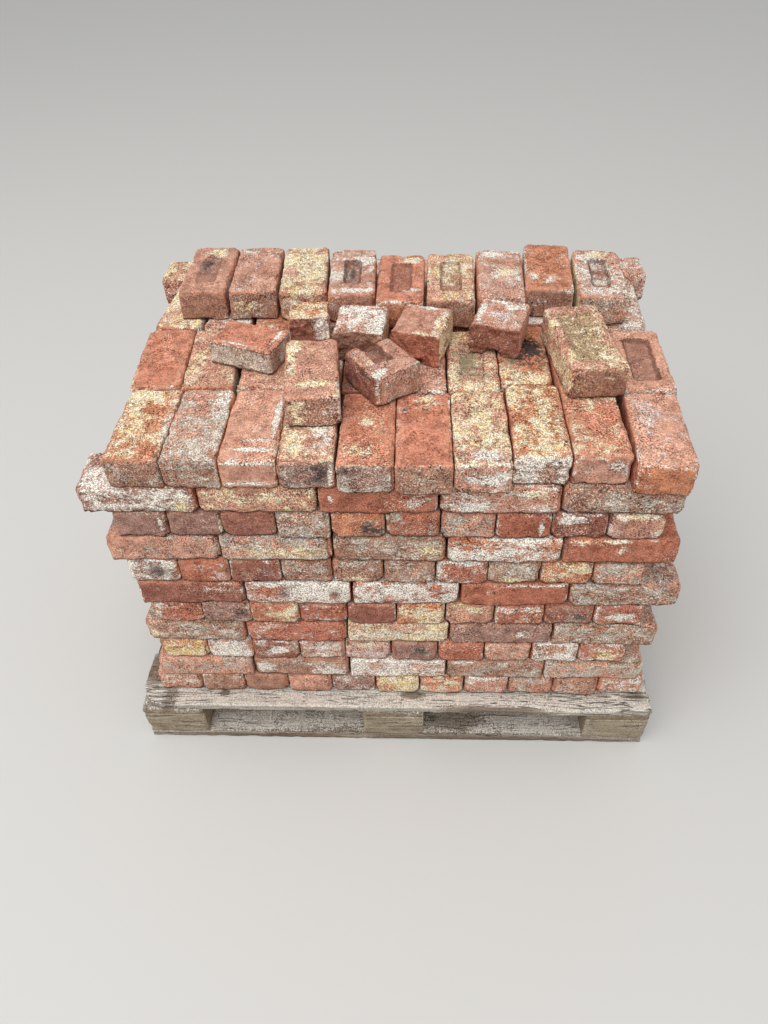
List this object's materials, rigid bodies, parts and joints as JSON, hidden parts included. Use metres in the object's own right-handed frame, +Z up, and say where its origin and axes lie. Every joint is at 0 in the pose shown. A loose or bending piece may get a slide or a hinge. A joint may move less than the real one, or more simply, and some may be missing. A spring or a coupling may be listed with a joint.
{
  "type": "pallet of bricks",
  "caption": "Wooden pallet loaded with dry-stacked reclaimed clay bricks, with loose whole and broken bricks lying on top.",
  "frame": {"origin": "centre of the pallet's underside, on the ground", "axes": "+X along the pallet's long side, +Y from its front to its back, +Z up"},
  "size_m": [1.2, 0.8, 0.9312],
  "materials": {
    "pallet_boards": "weathered softwood",
    "pallet_blocks": "weathered end grain",
    "brick": "worn fired clay with lime mortar traces",
    "broken_brick": "fired clay, broken faces",
    "mossy_brick": "fired clay with lichen",
    "core_brick": "hidden fired clay"
  },
  "bodies": {
    "root": {"bat_grey": "broken_brick", "bat_slanted": "broken_brick", "bat_turned": "broken_brick", "bat_upturned": "broken_brick", "bat_white": "broken_brick", "bat_yellow": "broken_brick", "block_back_centre": "pallet_blocks", "block_back_left": "pallet_blocks", "block_back_right": "pallet_blocks", "block_front_centre": "pallet_blocks", "block_front_left": "pallet_blocks", "block_front_right": "pallet_blocks", "block_middle_centre": "pallet_blocks", "block_middle_left": "pallet_blocks", "block_middle_right": "pallet_blocks", "course_01": "brick", "course_02": "brick", "course_03": "brick", "course_04": "brick", "course_05": "brick", "course_06": "brick", "course_07": "brick", "course_08": "brick", "course_09": "brick", "course_10": "brick", "crown_row": "brick", "deck_board_1": "pallet_boards", "deck_board_2": "pallet_boards", "deck_board_3": "pallet_boards", "deck_board_4": "pallet_boards", "deck_board_5": "pallet_boards", "mossy_brick": "mossy_brick", "short_brick": "brick", "skid_back": "pallet_boards", "skid_front": "pallet_boards", "skid_middle": "pallet_boards", "stack_core": "core_brick", "stringer_centre": "pallet_boards", "stringer_left": "pallet_boards", "stringer_right": "pallet_boards", "top_row_back": "brick", "top_row_front": "brick", "top_row_middle": "brick", "top_row_third": "brick"}
  },
  "joints": []
}
